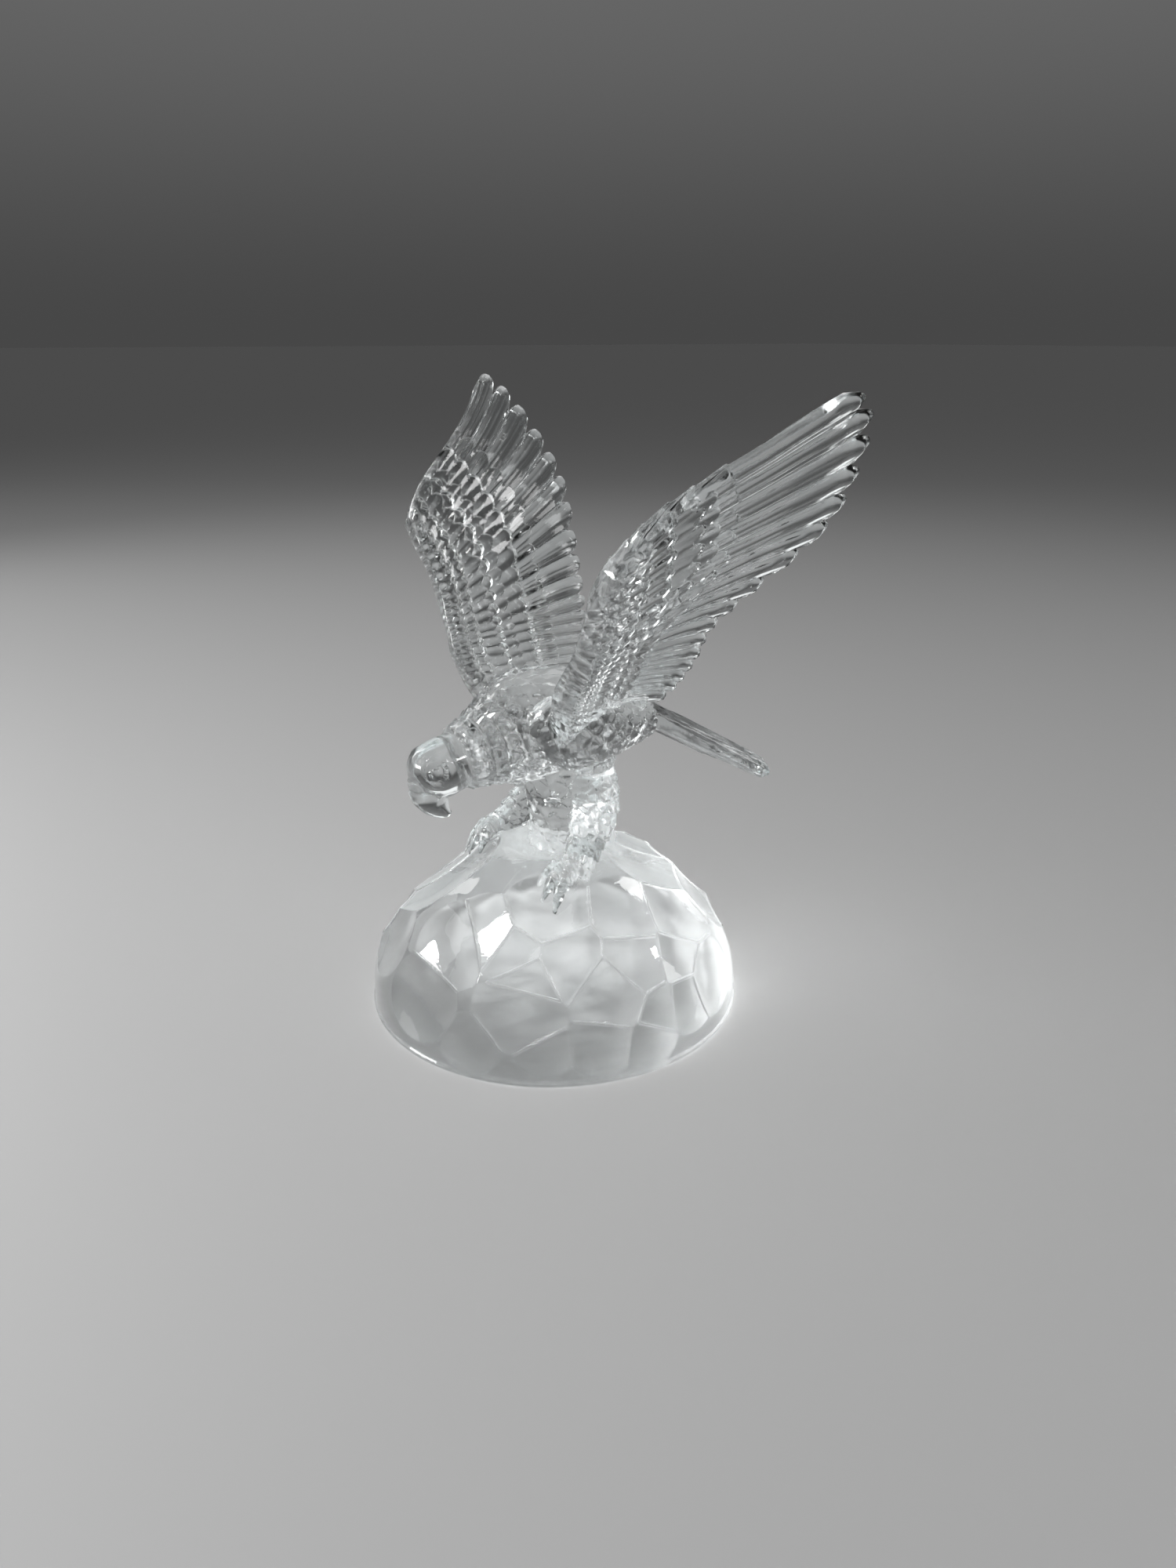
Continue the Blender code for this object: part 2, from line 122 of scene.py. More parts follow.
def overlapping_scales(along: Array, around: Array, scallop: float) -> tuple[Array, Array]:
    """Rows of scales that overlap like tiles, each row shifted by half a scale.

    A scale of row r hides the next one until r + 1 - scallop * off squared, where off is 0 on its midline
    and 1 on its edges, so every tip is round.

    Args:
        along: place along the rows, counted in rows, rising from root to tip.
        around: place across them, counted in scales.
        scallop: how far a tip stands beyond its corners, in rows.

    Returns:
        The progress from the visible root (0) to the tip (1) of the scale on top, and off for that scale.
    """
    row = np.floor(along)
    off = off_centre(around + 0.5 * (row % 2))
    under = along - row > 1 - scallop * off**2
    row = row + under
    off = off_centre(around + 0.5 * (row % 2))
    return np.clip((along - row + scallop) / (1 + scallop), 0.0, 1.0), off


# Meshes


@dataclass
class RingForm:
    """A closed body made of rings of points. A ring runs over the top of the form and back under it."""

    name: str
    rings: Array

    def faces(self) -> Array:
        """Quads between the rings, and at both ends a ladder of quads across the ring.

        Returns:
            Four point numbers for each quad.
        """
        count, around = self.rings.shape[:2]
        here = np.arange(count - 1)[:, None] * around + np.arange(around)
        beside = np.arange(count - 1)[:, None] * around + (np.arange(around) + 1) % around
        sides = np.stack([here, beside, beside + around, here + around], axis=-1).reshape(-1, 4)
        rung = np.arange(around // 2 - 1)
        start = np.stack([rung, around - 1 - rung, around - 2 - rung, rung + 1], axis=-1)
        end = start[:, ::-1] + (count - 1) * around
        return np.concatenate([sides, start, end])

    def build(self) -> bpy.types.Object:
        """Makes the object, with its faces turned outwards."""
        return mesh_object(self.name, self.rings.reshape(-1, 3), self.faces())


def mesh_object(name: str, points: Array, quads: Array) -> bpy.types.Object:
    """Makes an object from points and quads, and turns the quads outwards.

    The sign of the volume, the sum of dot(a, cross(b, c)) over the triangles, tells which way they face.

    Args:
        name: the object's name.
        points: the points, one row each.
        quads: four point numbers for each quad.

    Returns:
        The object, linked to the scene.
    """
    triangles = np.concatenate([quads[:, [0, 1, 2]], quads[:, [0, 2, 3]]])
    a, b, c = (points[triangles[:, k]] for k in range(3))
    if np.einsum("ij,ij->", a, np.cross(b, c)) < 0:
        quads = quads[:, ::-1]
    mesh = bpy.data.meshes.new(name)
    mesh.vertices.add(len(points))
    mesh.vertices.foreach_set("co", np.ascontiguousarray(points, np.float32).ravel())
    mesh.loops.add(quads.size)
    mesh.loops.foreach_set("vertex_index", np.ascontiguousarray(quads, np.int32).ravel())
    mesh.polygons.add(len(quads))
    mesh.polygons.foreach_set("loop_start", np.arange(0, quads.size, 4, dtype=np.int32))
    mesh.update(calc_edges=True)
    made = bpy.data.objects.new(name, mesh)
    bpy.context.scene.collection.objects.link(made)
    return made


def ball(name: str, centre: Array, radius: float, fineness: int) -> bpy.types.Object:
    """A ball of even triangles.

    Args:
        name: the object's name.
        centre: the middle of the ball.
        radius: its radius.
        fineness: Blender's number of subdivisions for it.

    Returns:
        The object, linked to the scene.
    """
    bm = bmesh.new()
    bmesh.ops.create_icosphere(bm, subdivisions=fineness, radius=radius)
    bmesh.ops.translate(bm, verts=bm.verts, vec=Vector(centre))
    mesh = bpy.data.meshes.new(name)
    bm.to_mesh(mesh)
    bm.free()
    made = bpy.data.objects.new(name, mesh)
    bpy.context.scene.collection.objects.link(made)
    return made


def combine(base: bpy.types.Object, others: list[bpy.types.Object], operation: str) -> bpy.types.Object:
    """Joins the others to the base, or cuts them from it, and removes them.

    Args:
        base: the closed body that is changed.
        others: the closed bodies that are used up.
        operation: "UNION" or "DIFFERENCE".

    Returns:
        The base with its new mesh.
    """
    for other in others:
        step = base.modifiers.new("step", "BOOLEAN")
        step.operation = operation
        step.solver = "MANIFOLD"
        step.object = other
    bpy.context.view_layer.update()
    graph = bpy.context.evaluated_depsgraph_get()
    joined = bpy.data.meshes.new_from_object(base.evaluated_get(graph))
    base.modifiers.clear()
    base.data = joined
    for other in others:
        bpy.data.objects.remove(other)
    return base


# The figure's own space


@dataclass(frozen=True)
class FigureSpace:
    """Hundredths of the eagle's height, measured from the top of the rock."""

    eagle_height: float = 94.0 * MM
    ground: float = 36.0 * MM

    @property
    def unit(self) -> float:
        """One figure unit in metres."""
        return self.eagle_height / 100.0

    def place(self, points: Array) -> Array:
        """Figure points in metres."""
        return np.asarray(points, float) * self.unit + np.array((0.0, 0.0, self.ground))


SPACE = FigureSpace()


# Rock


@dataclass
class Rock:
    """A domed block of glass. Large balls hollow its facets, which meet in crisp ridges."""

    radius: float = 40.0 * MM
    height: float = 36.0 * MM
    rim_height: float = 3.0 * MM
    lip: float = 0.35 * MM
    lip_height: float = 1.5 * MM
    facet_depth: float = 2.1 * MM
    hollow_radius: float = 50.0 * MM
    sides: int = 180
    lip_points: int = 9
    dome_points: int = 40
    dome_reach_deg: float = 86.0
    hollow_fineness: int = 6
    ridge_swing: float = 0.7
    ridge_points: int = 480
    shortest_ridge: int = 12
    bead_radius: float = 0.30 * MM
    bead_sink: float = 0.09 * MM
    bead_step: float = 2.4 * MM
    bead_sides: int = 8
    placed: tuple[tuple[float, float, float], ...] = (
        (-79, 17, 1.24),
        (-73, 38, 1.19),
        (-63, 44, 1.05),
        (-48, 40, 1.05),
        (-42, 32, 1.10),
        (-44, 22, 1.19),
        (-59, 8, 0.71),
        (-36, 9, 0.62),
        (-14, 27, 1.29),
        (-28, 38, 1.19),
        (-3, 34, 1.24),
        (2, 49, 1.10),
        (15, 30, 1.05),
        (1, 18, 0.86),
        (-19, 10, 0.86),
        (-5, 7, 0.71),
        (13, 16, 0.95),
        (26, 17, 1.05),
        (27, 42, 1.14),
        (-36, 54, 1.14),
        (-108, 26, 1.05),
        (-135, 28, 1.24),
        (-150, 44, 2.05),
        (-128, 52, 2.19),
        (64, 16, 0.90),
        (58, 36, 1.10),
        (80, 38, 1.05),
        (52, 58, 1.24),
        (83, 60, 1.05),
        (0, 90, 0.86),
    )
    rows: tuple[tuple[float, int], ...] = ((19, 12), (38, 11), (60, 7))
    clearance_deg: float = 20.0
    shift: float = 0.2
    tilt_deg: float = 4.0
    depth_variation: float = 0.4
    seed: int = 4

    def dome_height_at(self, x: Array, y: Array) -> Array:
        """Height of the dome over points of the underside: an ellipse on the rim."""
        share = np.clip(1 - (x * x + y * y) / self.radius**2, 0.0, 1.0)
        return self.rim_height + (self.height - self.rim_height) * np.sqrt(share)

    def direction(self, around_deg: float, rise_deg: float) -> Array:
        """The direction of a facet from the middle of the rim."""
        a, r = radians(around_deg), radians(rise_deg)
        return np.array((np.cos(a) * np.cos(r), np.sin(a) * np.cos(r), np.sin(r)))

    def facets(self) -> list[tuple[float, float, float]]:
        """The placed facets, then the rows of facets that fill the rest of the rock.

        Returns:
            Degrees around, degrees of rise and share of the depth for each facet.
        """
        chance = np.random.default_rng(self.seed)
        placed = np.array([self.direction(a, r) for a, r, _ in self.placed])
        found = list(self.placed)
        for rise, count in self.rows:
            for k in range(count):
                place = k + 0.5 * (count % 2) + chance.uniform(-self.shift, self.shift)
                tilted = rise + chance.uniform(-self.tilt_deg, self.tilt_deg)
                share = 1 + chance.uniform(-self.depth_variation, self.depth_variation)
                around = 360 * place / count
                nearest = (placed @ self.direction(around, tilted)).max()
                if nearest < np.cos(radians(self.clearance_deg)):
                    found.append((around, tilted, share))
        return found

    def hollow_centre(self, around_deg: float, rise_deg: float, share: float) -> Array:
        """The centre of the ball that hollows one facet, out along the dome's normal at the facet.

        Args:
            around_deg: degrees around the rock.
            rise_deg: degrees of rise over the dome.
            share: the facet's depth, as a share of ``facet_depth``.

        Returns:
            The centre, one point.
        """
        a, r = radians(around_deg), radians(rise_deg)
        height = self.height - self.rim_height
        flat = np.array((np.cos(a), np.sin(a), 0.0))
        up = np.array((0.0, 0.0, 1.0))
        point = flat * self.radius * np.cos(r) + up * (self.rim_height + height * np.sin(r))
        outward = unit(flat * np.cos(r) / self.radius + up * np.sin(r) / height)
        return point + outward * (self.hollow_radius - self.facet_depth * share)

    def ridges(self, centres: Array) -> list[Array]:
        """The lines where two hollows meet on the rock.

        Balls of one size meet on a circle round the middle of their centres. The line is the arc of that
        circle that lies inside the dome and outside every other ball.

        Args:
            centres: the centres of the hollows, one row each.

        Returns:
            The points of each line, close together.
        """
        middle = np.array((0.0, 0.0, self.rim_height))
        height = self.height - self.rim_height
        swing = np.linspace(-self.ridge_swing, self.ridge_swing, self.ridge_points)
        found = []
        for i, first in enumerate(centres):
            for second in centres[i + 1 :]:
                apart = second - first
                half = np.linalg.norm(apart) / 2
                if half > self.radius / 2:
                    continue
                centre = (first + second) / 2
                axis = apart / (2 * half)
                inward = middle - centre
                inward = unit(inward - axis * (inward @ axis))
                sideways = np.cross(axis, inward)
                circle = inward * np.cos(swing)[:, None] + sideways * np.sin(swing)[:, None]
                points = centre + circle * np.sqrt(self.hollow_radius**2 - half**2)
                gaps = np.linalg.norm(points[:, None] - centres, axis=-1).min(axis=-1)
                size = (self.radius - self.lip, self.radius - self.lip, height)
                inside = np.linalg.norm((points - middle) / size, axis=-1) < 1
                shown = (gaps > self.hollow_radius - 1e-6) & inside & (points[:, 2] > self.rim_height)
                if shown.any():
                    found.append(points[shown])
        return found

    def bead(self, line: Array) -> bpy.types.Object:
        """A thin round bead along a ridge, sunk in it so that its back stands out a little.

        Args:
            line: the points of the ridge.

        Returns:
            A tube of circles square to the ridge, round a few of its points.
        """
        step = np.linalg.norm(line[1] - line[0])
        count = max(3, round(len(line) * step / self.bead_step))
        spine = line[np.linspace(0, len(line) - 1, count).round().astype(int)]
        outward = unit(spine - np.array((0.0, 0.0, self.rim_height)))
        along = unit(np.gradient(spine, axis=0))
        across = unit(np.cross(along, outward))
        turn = np.linspace(0, 2 * np.pi, self.bead_sides, endpoint=False)
        circle = across[:, None] * np.cos(turn)[:, None] + outward[:, None] * np.sin(turn)[:, None]
        rings = (spine - outward * self.bead_sink)[:, None] + circle * self.bead_radius
        return RingForm("bead", rings).build()

    def profile(self) -> Array:
        """The rock's outline from the underside up: a rounded lip, the plain band and the dome.

        Returns:
            Radius and height of each point.
        """
        turn = np.linspace(-np.pi / 2, np.pi / 2, self.lip_points)
        half = self.lip_height / 2
        lip_radius = self.radius - half + half * np.cos(turn)
        lip_z = half + half * np.sin(turn)
        lip = np.stack([np.maximum(lip_radius, self.radius - self.lip), lip_z], axis=1)
        lip[0, 0] = self.radius - half
        rise = np.linspace(0.0, radians(self.dome_reach_deg), self.dome_points)
        dome = np.stack(
            [
                (self.radius - self.lip) * np.cos(rise),
                self.rim_height + (self.height - self.rim_height) * np.sin(rise),
            ],
            axis=1,
        )
        return np.concatenate([lip, dome])

    def build(self) -> bpy.types.Object:
        """Turns the profile round Z, hollows the facets and lays a bead along each ridge.

        Returns:
            The rock as one closed body.
        """
        profile = self.profile()
        turn = np.linspace(0, 2 * np.pi, self.sides, endpoint=False)
        flat = np.stack([np.cos(turn), np.sin(turn)], axis=1)
        rings = np.empty((len(profile), self.sides, 3))
        rings[..., :2] = profile[:, None, :1] * flat
        rings[..., 2] = profile[:, None, 1]
        block = RingForm("rock", rings).build()
        centres = np.array([self.hollow_centre(*facet) for facet in self.facets()])
        hollows = [ball("hollow", c, self.hollow_radius, self.hollow_fineness) for c in centres]
        block = combine(block, hollows, "DIFFERENCE")
        ridges = [line for line in self.ridges(centres) if len(line) > self.shortest_ridge]
        log.info("rock: %d ridges", len(ridges))
        return combine(block, [self.bead(line) for line in ridges], "UNION")


# Wings


@dataclass(frozen=True)
class FeatherRow:
    """A row of feathers. It ends at one share of the wing's depth at the shoulder, another at the tip."""

    inner: float
    outer: float
    count: int
    scallop: float
    shift: float = 0.0

    def off(self, u: Array) -> Array:
        """0 on a feather's midline and 1 on its edges."""
        return off_centre(u * self.count + self.shift)

    def end(self, u: Array) -> Array:
        """Where the row ends: a straight line less scallop * off squared, so that the tips are round."""
        return self.inner + (self.outer - self.inner) * u - self.scallop * self.off(u) ** 2


@dataclass
class Wing:
    """A raised wing: a curved sheet, thick at the arm, with tiled rows of feathers on both faces."""

    side: Side
    arm_knots: tuple[float, ...] = (0.0, 0.1, 0.3, 0.47, 0.58, 0.69, 0.8, 0.92, 1.0)
    arm: tuple[tuple[float, float, float], ...] = (
        (7.5, -8.0, 28.0),
        (14.4, -10.2, 32.6),
        (20.0, -12.6, 40.2),
        (22.3, -12.4, 43.6),
        (24.5, -12.0, 47.0),
        (26.4, -11.6, 51.0),
        (29.6, -11.9, 57.0),
        (33.5, -13.2, 63.0),
        (37.2, -13.2, 67.6),
    )
    tips_knots: tuple[float, ...] = (0.0, 0.06, 0.14, 0.25, 0.36, 0.472, 0.583, 0.694, 0.806, 0.917, 1.0)
    tips: tuple[tuple[float, float, float], ...] = (
        (8.0, 13.0, 26.0),
        (10.6, 14.9, 29.8),
        (15.4, 19.1, 34.0),
        (18.6, 21.8, 38.5),
        (21.3, 23.7, 43.9),
        (24.3, 25.2, 50.7),
        (32.6, 29.1, 59.6),
        (44.9, 34.1, 71.8),
        (53.9, 32.4, 83.2),
        (61.3, 26.8, 94.1),
        (63.4, 20.7, 98.6),
    )
    hand_knots: tuple[float, ...] = (0.0, 0.115, 0.275, 0.46, 0.675, 0.87, 1.0)
    hand: tuple[tuple[float, float, float], ...] = (
        (37.2, -13.2, 67.6),
        (40.6, -10.7, 71.4),
        (43.7, -5.1, 77.0),
        (48.2, 2.2, 82.1),
        (54.3, 10.1, 87.7),
        (59.6, 16.6, 94.0),
        (63.4, 20.7, 98.6),
    )
    shoulder_inside: tuple[float, float, float] = (4.0, 1.0, 25.5)
    shoulder_inside_size: float = 0.7
    root_thickness: float = 6.0 * MM
    wrist_thickness: float = 3.7 * MM
    feather_thickness: float = 2.0 * MM
    camber: float = 2.2 * MM
    covert_bulk: float = 0.6 * MM
    flight_feathers: int = 18
    samples: int = 12
    inner_notch: float = 0.05
    outer_notch: float = 0.13
    reach: float = 0.994
    lift: float = 0.80 * MM
    dome: float = 0.24 * MM
    largest_covert: float = 0.11
    least_size: float = 0.55
    flight_dome: float = 0.52 * MM
    quill: float = 0.16 * MM
    barb: float = 0.13 * MM
    row_gap: float = 0.006
    nose_share: float = 0.09
    closing: tuple[float, ...] = (0.85, 0.65, 0.35)
    back_rows: tuple[FeatherRow, ...] = (
        FeatherRow(0.10, 0.07, 18, 0.020),
        FeatherRow(0.21, 0.15, 18, 0.026, 0.5),
        FeatherRow(0.33, 0.23, 18, 0.032),
        FeatherRow(0.46, 0.32, 18, 0.036, 0.5),
        FeatherRow(0.60, 0.42, 18, 0.040),
        FeatherRow(0.75, 0.53, 18, 0.045, 0.5),
    )
    under_rows: tuple[FeatherRow, ...] = (
        FeatherRow(0.07, 0.05, 27, 0.013),
        FeatherRow(0.13, 0.09, 27, 0.016, 0.5),
        FeatherRow(0.19, 0.13, 27, 0.018),
        FeatherRow(0.26, 0.18, 27, 0.020, 0.5),
        FeatherRow(0.42, 0.30, 18, 0.030, 0.5),
        FeatherRow(0.62, 0.46, 18, 0.035),
    )

    def sheet(self, u: Array, v: Array) -> Array:
        """The middle surface: arm * (1 - v) + tips * v, plus the bow of the hand's edge times u squared.

        Args:
            u: places along the wing, 0 at the body and 1 at the hand's edge.
            v: depth shares, 0 at the arm and 1 at the feather tips.

        Returns:
            Points, with the shape of ``u`` and one more axis.
        """
        arm = curve_through(self.arm_knots, SPACE.place(self.arm), u)
        tips = curve_through(self.tips_knots, SPACE.place(self.tips), u)
        hand = curve_through(self.hand_knots, SPACE.place(self.hand), v)
        wrist, tip = SPACE.place(self.hand)[[0, -1]]
        across = v[..., None]
        bow = hand - (wrist + (tip - wrist) * across)
        return arm * (1 - across) + tips * across + bow * u[..., None] ** 2

    def normal(self, u: Array, v: Array, step: float = 1e-4) -> Array:
        """Directions square to the sheet on the side of the back: the cross product of its two slopes.

        Args:
            u: places along the wing.
            v: depth shares.
            step: how far from the place the sheet is read for a slope.

        Returns:
            Directions of length one.
        """
        along = self.sheet(np.clip(u + step, 0, 1), v) - self.sheet(np.clip(u - step, 0, 1), v)
        backward = self.sheet(u, v + step) - self.sheet(u, v - step)
        return unit(np.cross(along, backward))

    def end(self, u: Array) -> Array:
        """The trailing edge, notched between the flight feathers, deepest near the wing tip."""
        off = off_centre(u * self.flight_feathers)
        return self.reach - off**3 * (self.inner_notch + (self.outer_notch - self.inner_notch) * u**2)

    def columns(self, u: Array, rows: tuple[FeatherRow, ...]) -> tuple[Array, Array, Array, Array, Array]:
        """The columns of one face, which follow the ends of the feather rows.

        Args:
            u: places along the wing.
            rows: the covert rows of that face.

        Returns:
            Depth shares v, the progress from root to tip of the feather there, off from its midline, its
            size next to the largest coverts, and whether it is a flight feather, one row for every u.
        """
        within = np.array((0.0, 0.1, 0.35, 0.62, 0.86, 1.0))
        nose = np.array((0.0, 0.03, 0.09, 0.2, 0.38, 0.62, 0.86, 1.0))
        flight = np.array((0.0, 0.06, 0.2, 0.38, 0.56, 0.72, 0.85, 0.93, 0.97, 1.0))
        start = np.zeros_like(u)
        found = []
        for number, row in enumerate((*rows, None)):
            shares = nose if number == 0 else flight if row is None else within
            end = self.end(u) if row is None else row.end(u)
            off = off_centre(u * self.flight_feathers) if row is None else row.off(u)
            v = start[:, None] + (end - start)[:, None] * shares
            ones = np.ones_like(v)
            size = np.clip((end - start) / self.largest_covert, self.least_size, 1.0)
            is_flight = ones * (row is None)
            found.append((v, ones * shares, ones * off[:, None], ones * size[:, None], is_flight))
            start = end + self.row_gap
        return tuple(np.concatenate(kind, axis=1) for kind in zip(*found))

    def half_thickness(
        self, u: Array, v: Array, progress: Array, off: Array, size: Array, is_flight: Array
    ) -> Array:
        """Half of the wing's thickness with its feathers.

        A plain half falls from arm to tips with (1 - v) cubed. The coverts add bulk over the front. A covert
        lifts with its progress and its size, and every feather is domed by 1 - off squared. Flight feathers
        have a quill and a finer ridge on both sides of it. The nose is rounded like a circle, and the tips
        thin over their last part.

        Args:
            u: places along the wing.
            v: depth shares.
            progress: from a feather's root (0) to its tip (1).
            off: 0 on a feather's midline and 1 on its edges.
            size: the feather's size next to the largest coverts.
            is_flight: 1 for a flight feather and 0 for a covert.

        Returns:
            Half thicknesses, with the shape of ``v``.
        """
        arm = self.root_thickness + (self.wrist_thickness - self.root_thickness) * u
        plain = (self.feather_thickness + (arm - self.feather_thickness) * (1 - v) ** 3) / 2
        bulk = self.covert_bulk * (1 - smooth_step(v, 0.1, 0.7 - 0.3 * u))
        covert = self.lift * progress**1.4 + self.dome * (1 - off**2) * (0.35 + 0.65 * progress)
        covert = covert * size
        flight = self.flight_dome * (1 - off**2) + self.quill * bump(off, 0.13)
        flight += self.barb * (bump(off - 0.52, 0.14) - 0.5 * bump(off - 0.30, 0.1))
        half = plain + bulk + np.where(is_flight > 0, flight, covert)
        nose = np.sqrt(1 - (1 - np.clip(v / self.nose_share, 0.006, 1.0)) ** 2)
        tip = np.where(is_flight > 0, np.sqrt(1 - smooth_step(progress, 0.92, 1.0) * 0.98), 1.0)
        return half * nose * tip

    def surface(self, u: Array, rows: tuple[FeatherRow, ...], face: Face) -> Array:
        """The points of one face, moved from the sheet by the camber and by its part of the thickness.

        The camber goes with v squared * (1 - v), scaled so that its highest is ``camber``.

        Args:
            u: places along the wing.
            rows: the covert rows of the face.
            face: the wing's back or its underside.

        Returns:
            Points, one row of them for every u.
        """
        v, *feather = self.columns(u, rows)
        along = np.broadcast_to(u[:, None], v.shape)
        half = self.half_thickness(along, v, *feather)
        thinned = np.ones_like(half)
        thinned[-len(self.closing) :] *= np.array(self.closing)[:, None]
        share = (1 + v) / 2 if face is Face.BACK else (3 - v) / 2
        camber = self.camber * 27 / 4 * v**2 * (1 - v)
        moved = camber + face.value * half * thinned * share
        return self.sheet(along, v) + self.normal(along, v) * moved[..., None]

    def build(self) -> bpy.types.Object:
        """Joins the two faces in rings from the body to the hand's edge.

        Returns:
            The wing as one closed body, with its root inside the shoulder.
        """
        u = np.linspace(0.0, 1.0, self.flight_feathers * self.samples + 1)
        top = self.surface(u, self.back_rows, Face.BACK)
        under = self.surface(u, self.under_rows, Face.UNDER)
        rings = np.concatenate([top, under[:, ::-1]], axis=1)
        root = SPACE.place(self.shoulder_inside)
        inside = root + (rings[0] - rings[0].mean(0)) * self.shoulder_inside_size
        rings = np.concatenate([inside[None], rings]) * (self.side.value, 1.0, 1.0)
        return RingForm("wing", rings).build()


# Tail


@dataclass
class Tail:
    """A fan of feathers that slopes down behind the body."""

    root: tuple[float, float, float] = (0.0, 20.0, 28.4)
    feathers: int = 7
    samples: int = 14
    length: float = 43.0 * MM
    root_width: float = 11.0 * MM
    tip_width: float = 25.0 * MM
    root_thickness: float = 5.0 * MM
    tip_thickness: float = 2.6 * MM
    slope_deg: float = 30.0
    droop: float = 1.2 * MM
    notch: float = 0.04
    end_curve: float = 0.10
    edge_thinning: float = 0.85
    flare: float = 1.3
    dome: float = 0.65 * MM
    quill: float = 0.25 * MM
    lift: float = 0.35 * MM
    reach: float = 0.996
    covert_rows: int = 11
    covert_scales: int = 4
    covert_scallop: float = 0.4
    covert_end: tuple[float, float] = (0.26, 0.34)

    def build(self) -> bpy.types.Object:
        """Rings across the fan from one edge to the other.

        Coverts tile the root, and beyond them each feather is domed by 1 - off squared, with a quill, and
        thins at its round tip.

        Returns:
            The tail as one closed body.
        """
        s = np.linspace(-1.0, 1.0, self.feathers * self.samples + 1)
        off = off_centre((s + 1) / 2 * self.feathers)
        end = self.reach - self.notch * off**3 - self.end_curve * s**2
        shares = np.concatenate([np.linspace(0, 0.9, 26), (0.93, 0.955, 0.975, 0.99, 1.0)])
        t = end[:, None] * shares
        around = np.broadcast_to((s * self.covert_scales)[:, None], t.shape)
        progress, scale_off = overlapping_scales(t * self.covert_rows, around, self.covert_scallop)
        width = self.root_width + (self.tip_width - self.root_width) * t**self.flare
        half = (self.root_thickness + (self.tip_thickness - self.root_thickness) * t) / 2
        half = half * np.sqrt(1.0 - self.edge_thinning * s[:, None] ** 4)
        feather = (self.dome * (1 - off**2) + self.quill * bump(off, 0.14))[:, None] * np.sqrt(t)
        covert = self.lift * progress * (1 - 0.4 * scale_off**2)
        front = 1 - smooth_step(t, *self.covert_end)
        half = half + feather * (1 - front) + covert * front
        half = half * np.sqrt(1 - 0.9 * smooth_step(np.broadcast_to(shares, t.shape), 0.94, 1.0))
        slope = radians(self.slope_deg)
        backward = np.array((0.0, np.cos(slope), -np.sin(slope)))
        normal = np.array((0.0, np.sin(slope), np.cos(slope)))
        middle = (
            SPACE.place(self.root)
            + backward * (self.length * t)[..., None]
            - normal * (self.droop * s**2)[:, None, None]
            + np.array((1.0, 0.0, 0.0)) * (width / 2 * s[:, None])[..., None]
        )
        top = middle + normal * half[..., None]
        under = middle - normal * half[..., None]
        return RingForm("tail", np.concatenate([top, under[:, ::-1]], axis=1)).build()


# Body


@dataclass(frozen=True)
class Plumage:
    """Rows of small feathers over a round form."""

    rows: float
    scales: int
    lift: float = 0.62 * MM
    dome: float = 0.06 * MM
    scallop: float = 0.6

    def relief(self, along: Array, around: Array) -> Array:
        """Height over the form: lift * progress to the power 1.5, plus dome * (1 - off squared)."""
        progress, off = overlapping_scales(along * self.rows, around * self.scales, self.scallop)
        return self.lift * progress**1.5 + self.dome * (1 - off**2)


@dataclass
class RoundForm:
    """A round form through stations of (x, y, z, half-width, half-height) in figure units."""

    name: str
    stations: Stations
    rings: int
    sides: int
    side: Side = Side.LEFT
    plumage: Plumage | None = None
    carving: tuple["Carving | Ring", ...] = ()

    def build(self) -> bpy.types.Object:
        """Oval rings square to the spine, whose points the plumage and the carving move outwards.

        Returns:
            The form as one closed body.
        """
        at = np.linspace(0.0, len(self.stations) - 1, self.rings)
        smooth = curve_through(np.arange(len(self.stations)), self.stations, at)
        spine = SPACE.place(smooth[:, :3]) * (self.side.value, 1.0, 1.0)
        across = np.array((1.0, 0.0, 0.0))
        along = unit(np.gradient(spine, axis=0))
        upright = unit(np.cross(across, along))
        share = np.arange(self.sides) / self.sides
        turn = 2 * np.pi * share
        outward = across * np.cos(turn)[:, None] + upright[:, None] * np.sin(turn)[:, None]
        radii = smooth[:, None, 3:] * SPACE.unit
        oval = across * np.cos(turn)[:, None] * radii[..., :1]
        oval = oval + upright[:, None] * np.sin(turn)[:, None] * radii[..., 1:]
        points = spine[:, None] + oval
        height = np.zeros(points.shape[:2])
        if self.plumage:
            measured = np.concatenate([[0.0], np.cumsum(np.linalg.norm(np.diff(spine, axis=0), axis=1))])
            place = np.broadcast_to((measured / measured[-1])[:, None], height.shape)
            height += self.plumage.relief(place, np.broadcast_to(share, height.shape))
        for carving in self.carving:
            height += carving.height(points)
        height[[0, -1]] = 0.0
        return RingForm(self.name, points + outward * height[..., None]).build()


@dataclass(frozen=True)
class Carving:
    """A groove or ridge along a line of figure points, mirrored on both sides."""

    line: tuple[tuple[float, float, float], ...]
    width: float
    rise: float
    samples: int = 60

    def height(self, points: Array) -> Array:
        """A bell across the line: rise * exp(-(distance / width) squared), from the nearest point on it.

        Args:
            points: the points of a form.

        Returns:
            How far each point moves out.
        """
        at = np.linspace(0.0, len(self.line) - 1, self.samples)
        path = SPACE.place(curve_through(np.arange(len(self.line)), self.line, at))
        mirrored = points.copy()
        mirrored[..., 0] = np.abs(mirrored[..., 0])
        gap = np.linalg.norm(mirrored[..., None, :] - path, axis=-1).min(axis=-1)
        return self.rise * bump(gap, self.width)


